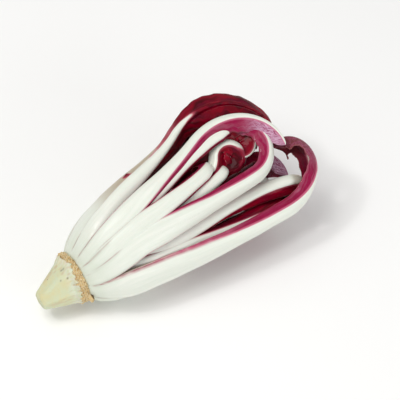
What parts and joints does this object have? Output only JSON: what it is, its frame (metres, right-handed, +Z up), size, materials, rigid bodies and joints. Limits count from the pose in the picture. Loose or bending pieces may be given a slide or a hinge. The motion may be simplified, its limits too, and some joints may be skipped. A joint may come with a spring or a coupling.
{
  "type": "radicchio head",
  "caption": "Long head of late-forced red chicory on its peeled taproot: thick ivory ribs wrap round one another and roll up into hooked tips edged with wine-red blades.",
  "frame": {"origin": "under the middle of the bounding box, on the table", "axes": "+X from the cut root to the hooked tips, +Z up as the head lies"},
  "size_m": [0.2312, 0.1076, 0.0993],
  "materials": {
    "root": "matte",
    "ivory_leaf": "satin",
    "wine_leaf": "satin"
  },
  "bodies": {
    "root": {"taproot": "root", "leaf_spiral": "ivory_leaf", "leaf_arch": "ivory_leaf", "leaf_snail": "wine_leaf", "leaf_rolled": "wine_leaf", "leaf_outer": "ivory_leaf", "leaf_short_a": "ivory_leaf", "leaf_tall": "wine_leaf", "leaf_short_b": "ivory_leaf", "leaf_under_arch": "ivory_leaf", "leaf_wedge": "wine_leaf", "leaf_back_top": "wine_leaf", "leaf_low_inner": "ivory_leaf", "leaf_curtain": "wine_leaf", "leaf_far_1": "ivory_leaf", "leaf_far_2": "ivory_leaf", "leaf_far_3": "ivory_leaf", "leaf_far_4": "ivory_leaf", "leaf_far_5": "ivory_leaf", "leaf_far_6": "ivory_leaf", "leaf_far_7": "ivory_leaf", "leaf_mid_1": "ivory_leaf", "leaf_mid_2": "ivory_leaf", "leaf_mid_3": "ivory_leaf", "leaf_mid_4": "ivory_leaf", "leaf_mid_5": "ivory_leaf", "leaf_core_1": "ivory_leaf", "leaf_core_2": "ivory_leaf"}
  },
  "joints": []
}
